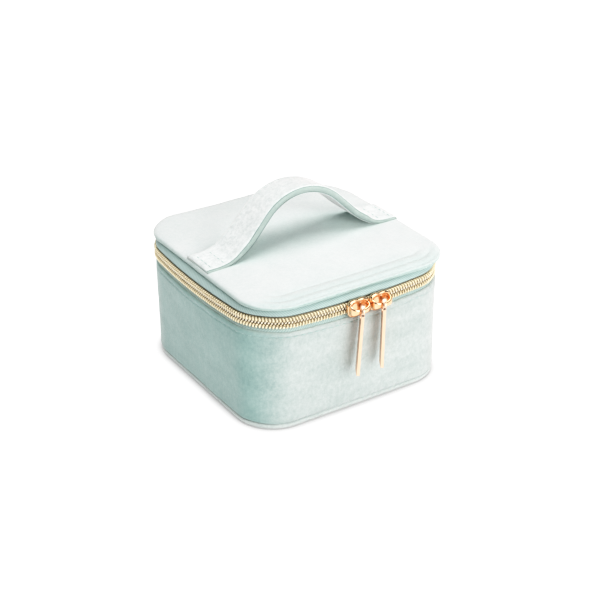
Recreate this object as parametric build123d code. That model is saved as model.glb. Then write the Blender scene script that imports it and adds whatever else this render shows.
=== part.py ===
"""Square velvet travel jewelry case with a zipped hinged lid and a carrying strap.

The origin is the centre of the flat underside. +Z is up, the zip sliders are on the front,
which faces -Y, and the fabric hinge is along the back. All sizes are in millimetres.
"""

from build123d import *
import math
import os

# Plan outline: a square with large corner radii and slightly bowed sides.
HALF_WIDTH = 50.0
HALF_DEPTH = 52.0
CORNER_RADIUS = 19.0
SIDE_BOW = 1.2

# Wall layers, as depths in from the outside face.
VELVET = 1.2
BOARD_INNER = 2.6
TAPE_INNER = 3.2
LINER_INNER = 4.2

# Heights of the base.
BOTTOM_PANEL_TOP = 1.6
BOTTOM_BOARD_TOP = 3.6
FLOOR_PAD_TOP = 6.0
TAPE_BOTTOM = 43.8
WALL_BOARD_TOP = 46.4
WALL_TOP = 47.8
LINER_TOP = 47.6
BOTTOM_PANEL_INSET = 0.8
RIM_FOLD_INNER = 2.5

# Zip: two coils that face each other across a narrow parting gap.
COIL_OUTER = 1.3
LOWER_COIL_BOTTOM = 48.1
LOWER_COIL_TOP = 50.0
UPPER_COIL_BOTTOM = 51.0
UPPER_COIL_TOP = 52.8
HINGE_HALF_LENGTH = 33.0
ZIP_END_GAP = 1.0

# Lid, from its lining up to its velvet top.
LID_INSET = 0.7
LID_LINER_BOTTOM = 52.8
LID_BOARD_BOTTOM = 54.0
LID_FOAM_BOTTOM = 55.2
LID_RIM_BOTTOM = 55.7
LID_FOAM_TOP = 56.6
LID_TOP = 57.8
MIRROR_SIZE = 74.0
MIRROR_CORNER = 7.0
MIRROR_CLEARANCE = 0.15
MIRROR_FACE = 52.9

# Fabric hinge: two plies between the base's rim and the lid's rim.
HINGE_OUTER = 0.8
HINGE_PLY_SEAM = 1.8
HINGE_INNER = 2.6

# Carrying strap: flat sewn ends, 45 degree rises and a round crown.
STRAP_WIDTH = 18.0
STRAP_HALF_SPAN = 48.3
STRAP_CENTRE_X = 0.9
STRAP_RISE = 23.2
STRAP_CROWN_RADIUS = 23.9
STRAP_FOOT_RADIUS = 28.0
STRAP_LINING = 0.8
STRAP_CORE = 0.6
STRAP_VELVET = 1.0

# Inside of the base.
DIVIDER_X = 2.3
DIVIDER_THICKNESS = 2.2
LONG_DIVIDER_TOP = 40.0
CROSS_DIVIDER_TOP = 36.0
CROSS_DIVIDER_Y = 16.5
ROLL_COUNT = 6
ROLL_PITCH = 16.2
ROLL_WIDTH = 15.8
ROLL_TOP = 34.0
FITTING_CLEARANCE = 0.1

# Zip sliders.
SLIDER_X = {"left": -3.4, "right": 7.4}
SLIDER_Z = 50.5
SLIDER_LENGTH = 10.0
SLIDER_HEIGHT = 7.4
SLIDER_PLATE = 1.4
SLIDER_CORNER = 2.6
SLIDER_GAP = 0.3
PLATE_GAP = 0.9
CORE_LENGTH = 8.4
CORE_HEIGHT = 4.4
WEB_LENGTH = 5.0
WEB_THICKNESS = 0.5
BACK_PLATE = 0.8
BACK_PLATE_HEIGHT = 3.7
BRIDGE_RADIUS = 0.65
BRIDGE_HALF_LENGTH = 3.4
BRIDGE_BEND = 1.2
BRIDGE_STANDOFF = 2.8

# Pull bars, measured from the centre of the slider's bridge.
PULL_THICKNESS = 1.3
PULL_WIDTH = 5.0
PULL_TOP = 1.6
PULL_BOTTOM = -29.6
EYE_WIDTH = 2.9
EYE_TOP_CENTRE = -0.7
EYE_BOTTOM_CENTRE = -3.0
PULL_TWIST = -30.0
PULL_LEAN = {"left": 3.8, "right": 0.8}

OVERLAP = 0.1

FRONT_FACE = HALF_DEPTH + SIDE_BOW


def outline(inset):
    """Plan face of the case, moved in by inset from the outside of its wall."""
    x = HALF_WIDTH - inset
    y = HALF_DEPTH - inset
    corners = [(-x, -y), (x, -y), (x, y), (-x, y)]
    middles = [(0, -y - SIDE_BOW), (x + SIDE_BOW, 0), (0, y + SIDE_BOW), (-x - SIDE_BOW, 0)]
    sides = []
    for i, middle in enumerate(middles):
        sides.append(ThreePointArc(corners[i], middle, corners[(i + 1) % 4]))
    face = make_face(Wire(sides))
    return fillet(face.vertices(), CORNER_RADIUS - inset)


def slab(inset, bottom, top):
    """Solid plate of the plan outline between two heights."""
    return extrude(Pos(0, 0, bottom) * outline(inset), top - bottom)


def ring(outer, inner, bottom, top):
    """Wall that follows the plan outline, between two insets and two heights."""
    return slab(outer, bottom, top) - slab(inner, bottom, top)


def block(x0, x1, y0, y1, z0, z1):
    """Box from its corner coordinates."""
    centre = Pos((x0 + x1) / 2, (y0 + y1) / 2, (z0 + z1) / 2)
    return centre * Box(x1 - x0, y1 - y0, z1 - z0)


def back_zone(half_length):
    """Block that covers the straight part of the back wall."""
    return block(-half_length, half_length, HALF_DEPTH / 2, HALF_DEPTH + 10, 0, 100)


def make_base_shell():
    """Outside, stiffening and lining of the base."""
    wall = ring(0, VELVET, BOTTOM_PANEL_TOP, WALL_BOARD_TOP)
    rim = ring(0, RIM_FOLD_INNER, WALL_BOARD_TOP, WALL_TOP)
    liner = ring(BOARD_INNER, LINER_INNER, BOTTOM_BOARD_TOP, TAPE_BOTTOM)
    liner_rim = ring(TAPE_INNER, LINER_INNER, TAPE_BOTTOM, LINER_TOP)
    return {
        "bottom_velvet": slab(BOTTOM_PANEL_INSET, 0, BOTTOM_PANEL_TOP),
        "bottom_board": slab(BOARD_INNER, BOTTOM_PANEL_TOP, BOTTOM_BOARD_TOP),
        "wall_velvet": wall + rim,
        "wall_board": ring(VELVET, BOARD_INNER, BOTTOM_PANEL_TOP, WALL_BOARD_TOP),
        "wall_liner": liner + liner_rim,
        "floor_pad": slab(LINER_INNER, BOTTOM_BOARD_TOP, FLOOR_PAD_TOP),
    }


def make_dividers():
    """One long divider and two cross dividers on the right."""
    room = slab(LINER_INNER + FITTING_CLEARANCE, FLOOR_PAD_TOP, LONG_DIVIDER_TOP)
    left_face = DIVIDER_X - DIVIDER_THICKNESS / 2
    right_face = DIVIDER_X + DIVIDER_THICKNESS / 2
    reach = HALF_DEPTH + SIDE_BOW
    long_blank = block(left_face, right_face, -reach, reach, FLOOR_PAD_TOP, LONG_DIVIDER_TOP)
    dividers = {"divider_long": long_blank & room}
    for name, y in (("front", -CROSS_DIVIDER_Y), ("rear", CROSS_DIVIDER_Y)):
        y0 = y - DIVIDER_THICKNESS / 2
        y1 = y + DIVIDER_THICKNESS / 2
        blank = block(right_face, HALF_WIDTH, y0, y1, FLOOR_PAD_TOP, CROSS_DIVIDER_TOP)
        dividers[f"divider_{name}"] = blank & room
    return dividers


def make_ring_rolls():
    """Round-topped rolls on the left, side by side from front to back."""
    room = slab(LINER_INNER + FITTING_CLEARANCE, FLOOR_PAD_TOP, ROLL_TOP)
    radius = ROLL_WIDTH / 2
    right_end = DIVIDER_X - DIVIDER_THICKNESS / 2 - FITTING_CLEARANCE
    rolls = {}
    for i in range(ROLL_COUNT):
        y = (i - (ROLL_COUNT - 1) / 2) * ROLL_PITCH
        body = block(
            -HALF_WIDTH, right_end, y - radius, y + radius, FLOOR_PAD_TOP, ROLL_TOP - radius
        )
        crown = Plane.YZ.offset(-HALF_WIDTH) * Pos(y, ROLL_TOP - radius) * Circle(radius)
        roll = body + extrude(crown, HALF_WIDTH + right_end)
        rolls[f"ring_roll_{i + 1}"] = roll & room
    return rolls


def make_zip_chain():
    """Tapes and coils, which run round the front, the sides and the back corners."""
    gap = back_zone(HINGE_HALF_LENGTH + ZIP_END_GAP)
    return {
        "lower_tape": ring(BOARD_INNER, TAPE_INNER, TAPE_BOTTOM, LOWER_COIL_TOP) - gap,
        "lower_coil": ring(COIL_OUTER, BOARD_INNER, LOWER_COIL_BOTTOM, LOWER_COIL_TOP) - gap,
        "upper_tape": ring(BOARD_INNER, TAPE_INNER, UPPER_COIL_BOTTOM, LID_FOAM_TOP) - gap,
        "upper_coil": ring(COIL_OUTER, BOARD_INNER, UPPER_COIL_BOTTOM, UPPER_COIL_TOP) - gap,
    }


def make_hinge():
    """Outer velvet ply and inner lining ply of the fabric hinge."""
    zone = back_zone(HINGE_HALF_LENGTH)
    return {
        "hinge_velvet": ring(HINGE_OUTER, HINGE_PLY_SEAM, WALL_TOP, LID_RIM_BOTTOM) & zone,
        "hinge_liner": ring(HINGE_PLY_SEAM, HINGE_INNER, WALL_TOP, LID_RIM_BOTTOM) & zone,
    }


def make_lid():
    """Velvet top, foam, board, lining panel and the mirror in its window."""
    cover = slab(LID_INSET, LID_RIM_BOTTOM, LID_TOP)
    cavity = slab(BOARD_INNER, LID_RIM_BOTTOM, LID_FOAM_TOP)
    liner = slab(TAPE_INNER, LID_LINER_BOTTOM, LID_BOARD_BOTTOM)
    window = Pos(0, 0, LID_LINER_BOTTOM) * RectangleRounded(MIRROR_SIZE, MIRROR_SIZE, MIRROR_CORNER)
    glass_side = MIRROR_SIZE - 2 * MIRROR_CLEARANCE
    glass_corner = MIRROR_CORNER - MIRROR_CLEARANCE
    glass = Pos(0, 0, MIRROR_FACE) * RectangleRounded(glass_side, glass_side, glass_corner)
    return {
        "lid_velvet": cover - cavity,
        "lid_foam": slab(TAPE_INNER, LID_FOAM_BOTTOM, LID_FOAM_TOP),
        "lid_board": slab(TAPE_INNER, LID_BOARD_BOTTOM, LID_FOAM_BOTTOM),
        "lid_liner": liner - extrude(window, LID_BOARD_BOTTOM - LID_LINER_BOTTOM),
        "mirror": extrude(glass, LID_BOARD_BOTTOM - MIRROR_FACE),
    }


def make_strap():
    """Three plies of the carrying strap, swept along one line."""
    thickness = STRAP_LINING + STRAP_CORE + STRAP_VELVET
    mid_height = LID_TOP + thickness / 2
    half_base = STRAP_RISE + (math.sqrt(2) - 1) * STRAP_CROWN_RADIUS
    start_x = STRAP_CENTRE_X - STRAP_HALF_SPAN
    points = [
        (start_x, 0, mid_height),
        (STRAP_CENTRE_X - half_base, 0, mid_height),
        (STRAP_CENTRE_X, 0, mid_height + half_base),
        (STRAP_CENTRE_X + half_base, 0, mid_height),
        (STRAP_CENTRE_X + STRAP_HALF_SPAN, 0, mid_height),
    ]
    radii = [STRAP_FOOT_RADIUS, STRAP_CROWN_RADIUS, STRAP_FOOT_RADIUS]
    line = FilletPolyline(points, radius=radii)
    plies = {}
    bottom = LID_TOP
    for name, ply in (("lining", STRAP_LINING), ("core", STRAP_CORE), ("velvet", STRAP_VELVET)):
        section_plane = Plane(origin=(start_x, 0, bottom + ply / 2), x_dir=(0, 1, 0), z_dir=(1, 0, 0))
        section = section_plane * Rectangle(STRAP_WIDTH, ply)
        plies[f"strap_{name}"] = sweep(section, path=line)
        bottom += ply
    return plies


def make_slider(x):
    """Slider: front plate, core and web through the zip, back plate and bridge."""
    plate_back = FRONT_FACE + PLATE_GAP
    plate_front = plate_back + SLIDER_PLATE
    plate = extrude(
        Plane.XZ.offset(plate_back)
        * Pos(x, SLIDER_Z)
        * RectangleRounded(SLIDER_LENGTH, SLIDER_HEIGHT, SLIDER_CORNER),
        SLIDER_PLATE,
    )
    plate = fillet(plate.faces().sort_by(Axis.Y)[0].edges(), 0.5)

    core_back = FRONT_FACE - COIL_OUTER + SLIDER_GAP
    core = extrude(
        Plane.XZ.offset(core_back) * Pos(x, SLIDER_Z) * Rectangle(CORE_LENGTH, CORE_HEIGHT),
        plate_back - core_back + OVERLAP,
    )
    rear_front = FRONT_FACE - TAPE_INNER - SLIDER_GAP
    rear_back = rear_front - BACK_PLATE
    web = extrude(
        Plane.XZ.offset(rear_front - OVERLAP)
        * Pos(x, SLIDER_Z)
        * Rectangle(WEB_LENGTH, WEB_THICKNESS),
        core_back - rear_front + 2 * OVERLAP,
    )
    rear = extrude(
        Plane.XZ.offset(rear_back)
        * Pos(x, SLIDER_Z)
        * RectangleRounded(CORE_LENGTH, BACK_PLATE_HEIGHT, 1.2),
        BACK_PLATE,
    )

    rod_y = -(plate_front + BRIDGE_STANDOFF)
    foot_y = -(plate_front - 0.6)
    left = x - BRIDGE_HALF_LENGTH
    right = x + BRIDGE_HALF_LENGTH
    arch = FilletPolyline(
        (left, foot_y, SLIDER_Z),
        (left, rod_y, SLIDER_Z),
        (right, rod_y, SLIDER_Z),
        (right, foot_y, SLIDER_Z),
        radius=BRIDGE_BEND,
    )
    start = Plane(origin=(left, foot_y, SLIDER_Z), x_dir=(1, 0, 0), z_dir=(0, -1, 0))
    bridge = sweep(start * Circle(BRIDGE_RADIUS), path=arch)
    return plate + core + web + rear + bridge


def make_pull(x, lean):
    """Flat bar with an eye at its top, hanging on the slider's bridge."""
    length = PULL_TOP - PULL_BOTTOM
    profile = Pos(0, PULL_TOP - length / 2) * Rectangle(PULL_WIDTH, length)
    top_corners = profile.vertices().sort_by(Axis.Y)[-2:]
    profile = fillet(top_corners, PULL_WIDTH / 2 - 0.1)
    eye_length = EYE_TOP_CENTRE - EYE_BOTTOM_CENTRE
    eye_middle = (EYE_TOP_CENTRE + EYE_BOTTOM_CENTRE) / 2
    profile -= Pos(0, eye_middle) * Rotation(0, 0, 90) * SlotCenterToCenter(eye_length, EYE_WIDTH)
    bar_solid = extrude(Plane.YZ * profile, PULL_THICKNESS / 2, both=True)
    rod_y = -(FRONT_FACE + PLATE_GAP + SLIDER_PLATE + BRIDGE_STANDOFF)
    place = Pos(x, rod_y, SLIDER_Z) * Rotation(0, lean, 0) * Rotation(0, 0, PULL_TWIST)
    return place * bar_solid


def make_sliders():
    """Two sliders that meet at the front, each with its pull."""
    parts = {}
    for side, x in SLIDER_X.items():
        parts[f"slider_{side}"] = make_slider(x)
        parts[f"pull_{side}"] = make_pull(x, PULL_LEAN[side])
    return parts


def main():
    """Write one STEP file for each piece."""
    os.makedirs("parts", exist_ok=True)
    pieces = {}
    makers = [
        make_base_shell,
        make_dividers,
        make_ring_rolls,
        make_zip_chain,
        make_hinge,
        make_lid,
        make_strap,
        make_sliders,
    ]
    for maker in makers:
        pieces.update(maker())
    for name, shape in pieces.items():
        export_step(shape, f"parts/{name}.step")


main()
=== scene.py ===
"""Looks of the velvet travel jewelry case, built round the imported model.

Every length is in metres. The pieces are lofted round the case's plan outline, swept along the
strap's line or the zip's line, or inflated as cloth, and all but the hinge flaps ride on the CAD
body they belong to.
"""

import math

import bmesh
import bpy
import numpy as np
from mathutils import Matrix, Vector, noise


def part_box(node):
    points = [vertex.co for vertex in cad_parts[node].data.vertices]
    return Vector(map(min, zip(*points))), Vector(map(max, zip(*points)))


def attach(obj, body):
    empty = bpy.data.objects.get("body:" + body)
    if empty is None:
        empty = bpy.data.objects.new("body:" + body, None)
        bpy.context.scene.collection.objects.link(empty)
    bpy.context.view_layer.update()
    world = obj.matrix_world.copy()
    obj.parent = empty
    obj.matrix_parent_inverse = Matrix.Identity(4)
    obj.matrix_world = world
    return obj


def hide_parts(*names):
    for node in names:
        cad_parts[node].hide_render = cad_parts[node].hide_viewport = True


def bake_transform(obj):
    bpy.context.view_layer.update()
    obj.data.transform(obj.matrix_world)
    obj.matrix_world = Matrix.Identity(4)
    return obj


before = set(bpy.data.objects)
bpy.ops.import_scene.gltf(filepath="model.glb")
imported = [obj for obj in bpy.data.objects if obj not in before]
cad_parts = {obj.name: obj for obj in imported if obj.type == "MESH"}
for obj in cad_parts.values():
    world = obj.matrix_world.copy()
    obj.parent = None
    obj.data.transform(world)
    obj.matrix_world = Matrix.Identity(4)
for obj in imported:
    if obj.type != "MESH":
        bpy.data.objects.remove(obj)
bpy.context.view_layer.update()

MM = 0.001


# ---------------------------------------------------------------- sizes read from the frame

_, wall_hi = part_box("wall_velvet")
_, panel_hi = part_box("bottom_velvet")
lid_lo, lid_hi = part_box("lid_velvet")
coil_lo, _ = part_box("lower_coil")
_, coil_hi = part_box("upper_coil")
strap_lo, strap_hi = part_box("strap_velvet")
core_lo, core_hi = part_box("strap_core")
_, liner_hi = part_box("wall_liner")
pad_lo, pad_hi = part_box("floor_pad")
_, hinge_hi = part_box("hinge_velvet")
_, mirror_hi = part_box("mirror")
_, panel_liner_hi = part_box("lid_liner")

CAD_BOW = 1.2 * MM
HALF_X = wall_hi.x - CAD_BOW
HALF_Y = wall_hi.y - CAD_BOW
CORNER = 18.8 * MM

WALL_TOP = wall_hi.z
LID_EDGE = HALF_X - (lid_hi.x - CAD_BOW)
LID_LOW = lid_lo.z
LID_TOP = lid_hi.z
COIL_LOW = coil_lo.z
COIL_HIGH = coil_hi.z
COIL_MID = (COIL_LOW + COIL_HIGH) / 2
FOOT_SEAM = 2.4 * MM

FOOT_INSET = 0.5 * MM
RIM_INSET = 2.0 * MM
RIM_BOW = 4.2 * MM
RIM_DIP = 0.75 * MM
ZIP_INSET = 2.7 * MM
ZIP_BOW = 3.6 * MM
ZIP_DIP = 0.55 * MM
LID_BOW = 0.1 * MM
LID_SHIFT = 1.0 * MM
LID_RIGHT_EXTRA = 1.0 * MM
LID_BACK_RIGHT_EXTRA = 7.0 * MM
RIM_TOP = WALL_TOP - 1.3 * MM
BACK_LEFT_EXTRA = 5.5 * MM

SIDE_STEPS = 56
CORNER_STEPS = 18


# ---------------------------------------------------------------- shader helpers


class Paint:
    """Node material with a Principled shader, and short ways to add nodes to it."""

    def __init__(self, name):
        self.material = bpy.data.materials.new(name)
        self.material.use_nodes = True
        self.nodes = self.material.node_tree.nodes
        self.links = self.material.node_tree.links
        self.shader = self.nodes["Principled BSDF"]

    def feed(self, node, inputs):
        """Links or sets inputs of a node, each from a socket, a number, a vector or a colour."""
        for key, value in inputs.items():
            socket = node.inputs[key]
            if isinstance(value, bpy.types.NodeSocket):
                self.links.new(value, socket)
            elif socket.type == "RGBA":
                socket.default_value = (*value, 1)
            else:
                socket.default_value = value

    def node(self, kind, inputs, output, **properties):
        """Output socket of a new node."""
        node = self.nodes.new(f"ShaderNode{kind}")
        for key, value in properties.items():
            setattr(node, key, value)
        self.feed(node, inputs)
        return node.outputs[output]

    def coordinates(self, scale=(1, 1, 1)):
        """Object coordinates times a scale."""
        where = self.node("TexCoord", {}, "Object")
        return self.node("Mapping", {"Vector": where, "Scale": scale}, "Vector")

    def noise(self, vector, scale, detail=3.0, distortion=0.0, roughness=0.55):
        """Noise factor at that scale, in features per metre."""
        inputs = {"Vector": vector, "Scale": scale, "Detail": detail}
        inputs |= {"Roughness": roughness, "Distortion": distortion}
        return self.node("TexNoise", inputs, "Fac")

    def ramp(self, factor, low, high, dark, light):
        """Colour ramp from dark at low to light at high."""
        node = self.nodes.new("ShaderNodeValToRGB")
        for index, place, colour in ((0, low, dark), (1, high, light)):
            node.color_ramp.elements[index].position = place
            node.color_ramp.elements[index].color = (*colour, 1)
        self.feed(node, {"Fac": factor})
        return node.outputs["Color"]

    def mix(self, factor, a, b, blend="MIX"):
        """Colour mix of a and b by a factor."""
        inputs = {0: factor, 6: a, 7: b}
        return self.node("Mix", inputs, 2, data_type="RGBA", blend_type=blend)

    def times(self, a, b):
        """Product of two colours."""
        return self.mix(1.0, a, b, "MULTIPLY")

    def maths(self, operation, a, b):
        """Math node of two values."""
        return self.node("Math", {0: a, 1: b}, 0, operation=operation)

    def spread(self, value, low, high, start=0.0, end=1.0, curve="LINEAR"):
        """Value mapped from the range low to high onto the range start to end."""
        inputs = {"Value": value, "From Min": low, "From Max": high, "To Min": start, "To Max": end}
        return self.node("MapRange", inputs, "Result", interpolation_type=curve)

    def openness(self, distance, samples):
        """How open the surroundings are within a distance, from 0 to 1."""
        return self.node("AmbientOcclusion", {"Distance": distance}, "AO", samples=samples)

    def finish(self, colour, roughness, height=None, strength=0.0, depth=0.0, **more):
        """Feeds the shader its colour, roughness, bump and further inputs, _ for each space."""
        inputs = {"Base Color": colour, "Roughness": roughness}
        if height:
            bumps = {"Height": height, "Strength": strength, "Distance": depth}
            inputs["Normal"] = self.node("Bump", bumps, "Normal")
        inputs |= {key.replace("_", " "): value for key, value in more.items()}
        self.feed(self.shader, inputs)
        return self.material


# ---------------------------------------------------------------- materials

# Lit side of each velvet: the way a face must point to take its painted lit tone, and the facing
# range over which it turns.
WALL_LIT_SIDE = ((0.55, -0.8, 0.25), -0.25, 0.9)
LID_LIT_SIDE = ((0.1, -0.1, 1.0), 0.35, 0.97)
STRAP_LIT_SIDE = ((0, 0, 1.0), -0.2, 0.8)
# Reach and depth of the blotchy cut in the lid's painted lit tone near its front edge, which leaves
# that edge darker.
FRONT_LIT_CUT = (36 * MM, 47 * MM, 0.5)
DULL = ((0.9, 0.9, 0.9), (1, 1, 1))


def lit_side_share(paint, lit_facing, low, high):
    """How far the surface faces the lit side, from 0 to 1, which sets where the painted lit tone
    shows.
    """
    surface = paint.node("TexCoord", {}, "Normal")
    inputs = {0: surface, 1: lit_facing}
    dot = paint.node("VectorMath", inputs, "Value", operation="DOT_PRODUCT")
    return paint.spread(dot, low, high, curve="SMOOTHSTEP")


def front_lit_cut(paint, patches, start, end, depth):
    """Share of the painted lit tone kept towards the front edge, where it is cut back in blotches.
    """
    y = paint.node("SeparateXYZ", {0: paint.coordinates()}, "Y")
    front = paint.spread(y, -start, -end, 0.0, depth, "SMOOTHSTEP")
    blotches = paint.maths("MULTIPLY", patches, 1.6)
    return paint.maths("SUBTRACT", 1.0, paint.maths("MULTIPLY", front, blotches))


def shade_share(paint, distance):
    """How sheltered a place is, as under the strap or between two loops, from 0 to 1, which sets
    where shade is painted.
    """
    return paint.spread(paint.openness(distance, 12), 0.9, 0.45)


def velvet(
    name, dark, light, patch=55.0, sheen=1.0, brush_marks_and_lit_tones=None, lit_facing=None, front_cut=None,
    spread=0.14, shade_tint=None,
):
    """Short-pile velvet: faint patches of brushing, streaks of nap, fine mottling and a pale sheen.

    With lit colours, the pile turns to those where it faces the lit side, as painted light. A
    smaller spread gives stronger mottling. With a shade tint, sheltered places turn towards it, as
    painted shade.
    """
    paint = Paint(name)
    where = paint.coordinates()
    patches = paint.noise(paint.coordinates((0.8, 0.8, 2.0)), patch, 4.0, 0.6)
    streaks = paint.noise(paint.coordinates((1, 1, 0.7)), 650, 4.0, 0.2)
    mottling = paint.noise(where, 1300, 4.0, 0.0, 0.65)
    grain = paint.noise(where, 5200, 2.0)
    nap = paint.maths("MULTIPLY", patches, 0.36)
    for part, weight in ((streaks, 0.34), (mottling, 0.3)):
        nap = paint.maths("ADD", nap, paint.maths("MULTIPLY", part, weight))
    low, high = 0.5 - spread, 0.5 + spread
    colour = paint.ramp(nap, low, high, dark, light)
    # Painted light: the colour turns to the pale lit tone where the surface faces the lit side.
    if brush_marks_and_lit_tones:
        share = lit_side_share(paint, *lit_facing)
        # Near the lid's front edge the painted lit tone is cut back in blotches.
        if front_cut:
            share = paint.maths("MULTIPLY", share, front_lit_cut(paint, patches, *front_cut))
        colour = paint.mix(share, colour, paint.ramp(nap, low, high, *brush_marks_and_lit_tones))
    # Painted shade: sheltered places, as under the strap, turn towards the shade tint.
    if shade_tint:
        shaded_colour = paint.times(colour, shade_tint)
        colour = paint.mix(shade_share(paint, 26 * MM), colour, shaded_colour)
    return paint.finish(
        paint.times(colour, paint.ramp(grain, 0.3, 0.7, *DULL)), 0.92,
        paint.maths("ADD", paint.maths("MULTIPLY", mottling, 0.6), grain), 0.3, 0.2 * MM,
        Specular_IOR_Level=0.1, Sheen_Weight=sheen, Sheen_Roughness=0.5,
        Sheen_Tint=(1.0, 0.92, 0.92),
    )


def twill(name, dark, light, ribs=1 / 0.55 / 3.2):
    """Fine twill tape: diagonal ribs laid out by the piece's own length and width."""
    paint = Paint(name)
    where = paint.node("UVMap", {}, "UV", uv_map="UVMap")
    inputs = {"Vector": where, "Scale": ribs, "Distortion": 0.6, "Detail": 1.0}
    wave = paint.node("TexWave", inputs, "Fac", wave_type="BANDS", bands_direction="DIAGONAL")
    tone = paint.ramp(paint.noise(paint.coordinates(), 160), 0.3, 0.7, *DULL)
    colour = paint.times(paint.ramp(wave, 0.2, 0.8, dark, light), tone)
    sheen = {"Sheen_Weight": 0.35, "Sheen_Roughness": 0.4}
    return paint.finish(colour, 0.62, wave, 0.4, 0.12 * MM, **sheen)


def thread(name, dark, light):
    """Twisted sewing thread."""
    paint = Paint(name)
    twist = paint.noise(paint.coordinates(), 2600, 2.0)
    colour = paint.ramp(twist, 0.35, 0.65, dark, light)
    return paint.finish(colour, 0.6, twist, 0.4, 0.1 * MM, Sheen_Weight=0.3)


def plated(name, colour, tarnish, roughness, scratch=0.0):
    """Plated metal with faint colour change, polish marks and fine scratches."""
    paint = Paint(name)
    clouds = paint.noise(paint.coordinates(), 240, 4.0)
    brush_marks_and_lit_tones = paint.noise(paint.coordinates((1, 1, 0.04)), 5200, 2.0)
    low = roughness * 0.7
    marks = paint.maths("ADD", paint.maths("MULTIPLY", brush_marks_and_lit_tones, low), low)
    height = brush_marks_and_lit_tones if scratch else None
    tint = paint.ramp(clouds, 0.3, 0.75, tarnish, colour)
    return paint.finish(tint, marks, height, scratch, 0.03 * MM, Metallic=1.0)


def metallised_coil(name, dark, light, metal):
    """Gold-coated nylon coil: half metal, with rubbed lighter tops and painted shade between its
    loops.
    """
    paint = Paint(name)
    rubbed = paint.noise(paint.coordinates(), 900)
    colour = paint.ramp(rubbed, 0.3, 0.7, dark, light)
    # Painted shade: darker where the loops shelter each other.
    painted_shade = paint.times(colour, (0.42, 0.34, 0.24))
    colour = paint.mix(shade_share(paint, 0.7 * MM), colour, painted_shade)
    return paint.finish(colour, 0.3, rubbed, 0.15, 0.05 * MM, Metallic=metal)


def fibre_board(name):
    """Grey bookbinding board with pressed fibres."""
    paint = Paint(name)
    fibres = paint.noise(paint.coordinates((1, 1, 6)), 700, 5.0)
    colour = paint.ramp(fibres, 0.35, 0.7, (0.24, 0.22, 0.19), (0.42, 0.40, 0.36))
    return paint.finish(colour, 0.95, fibres, 0.3, 0.2 * MM)


def open_foam(name):
    """Cream open-cell foam."""
    paint = Paint(name)
    inputs = {"Vector": paint.coordinates(), "Scale": 1800}
    pores = paint.node("TexVoronoi", inputs, "Distance")
    colour = paint.ramp(pores, 0.0, 0.6, (0.62, 0.58, 0.44), (0.86, 0.83, 0.70))
    return paint.finish(colour, 0.9, pores, 0.6, 0.3 * MM)


def mirror_glass(name):
    """Silvered mirror with very faint smudges."""
    paint = Paint(name)
    smudges = paint.noise(paint.coordinates(), 60, 4.0)
    tint = paint.ramp(smudges, 0.3, 0.8, (0.86, 0.89, 0.89), (0.93, 0.95, 0.95))
    return paint.finish(tint, paint.maths("MULTIPLY", smudges, 0.05), Metallic=1.0)


# The pale pairs are painted lit tones, which each velvet takes where it faces its lit side.
WALL_TEAL = ((0.138, 0.284, 0.261), (0.252, 0.42, 0.392))
WALL_LIT_TONE = ((0.31, 0.385, 0.37), (0.515, 0.575, 0.56))
LID_MINT = ((0.24, 0.38, 0.35), (0.36, 0.51, 0.48))
LID_LIT_TONE = ((0.54, 0.63, 0.63), (0.70, 0.76, 0.76))
STRAP_MINT = ((0.50, 0.60, 0.59), (0.76, 0.84, 0.83))
STRAP_LIT_TONE = ((0.55, 0.63, 0.63), (0.82, 0.88, 0.88))
VELVET = velvet("velvet_mint", *WALL_TEAL, 55, 0.55, WALL_LIT_TONE, WALL_LIT_SIDE)
LID_VELVET = velvet(
    "velvet_lid", *LID_MINT, 70, 1.0, LID_LIT_TONE, LID_LIT_SIDE, FRONT_LIT_CUT, shade_tint=(0.76, 0.97, 0.91)
)
STRAP_VELVET = velvet("velvet_strap", *STRAP_MINT, 380, 1.0, STRAP_LIT_TONE, STRAP_LIT_SIDE, spread=0.105)
LINING = velvet("velvet_lining", (0.34, 0.53, 0.49), (0.54, 0.71, 0.67), 90)
BINDING = velvet("velvet_binding", (0.28, 0.375, 0.345), (0.38, 0.475, 0.445), 160, 0.4)
# Paler than the wall's velvet, as if lit by light thrown up from the floor: painted light.
FOOT_BOUNCE_VELVET = velvet("velvet_foot_painted_bounce", (0.44, 0.52, 0.50), (0.60, 0.67, 0.65), 90, 0.6)
TAPE = twill("zip_tape", (0.25, 0.385, 0.365), (0.37, 0.505, 0.485))
THREAD = thread("thread_mint", (0.24, 0.41, 0.38), (0.36, 0.53, 0.50))
PALE_THREAD = thread("thread_pale", (0.50, 0.60, 0.59), (0.64, 0.73, 0.72))
SEAM_CORD = thread("seam_cord", (0.09, 0.17, 0.15), (0.15, 0.25, 0.22))
GAP_SHADE = thread("zip_gap", (0.04, 0.065, 0.06), (0.08, 0.115, 0.105))
COIL = metallised_coil("zip_coil_gold", (0.84, 0.68, 0.38), (1.0, 0.89, 0.62), 0.3)
# The heads are paler than the coil, so that they show as glints: painted highlight.
HEADS = metallised_coil("zip_heads_pale", (0.80, 0.68, 0.46), (1.0, 0.94, 0.80), 0.4)
# Dark brown, darker than the coil, so that the cords and the strips behind the coils read as the
# shade between the loops: painted shade.
CORD_AND_GAP_SHADE = thread("coil_core_and_gap_shade", (0.22, 0.17, 0.095), (0.36, 0.29, 0.17))
GOLD = plated("rose_gold", (0.90, 0.57, 0.35), (0.80, 0.43, 0.21), 0.13)
PULL_GOLD = plated("pale_gold", (0.84, 0.55, 0.375), (0.78, 0.50, 0.325), 0.32, 0.3)
PIN_SHADE = thread("pin_shade", (0.05, 0.025, 0.012), (0.11, 0.06, 0.03))
BOARD = fibre_board("greyboard")
FOAM = open_foam("foam")
MIRROR = mirror_glass("mirror")


# ---------------------------------------------------------------- outlines and lofts


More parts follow.
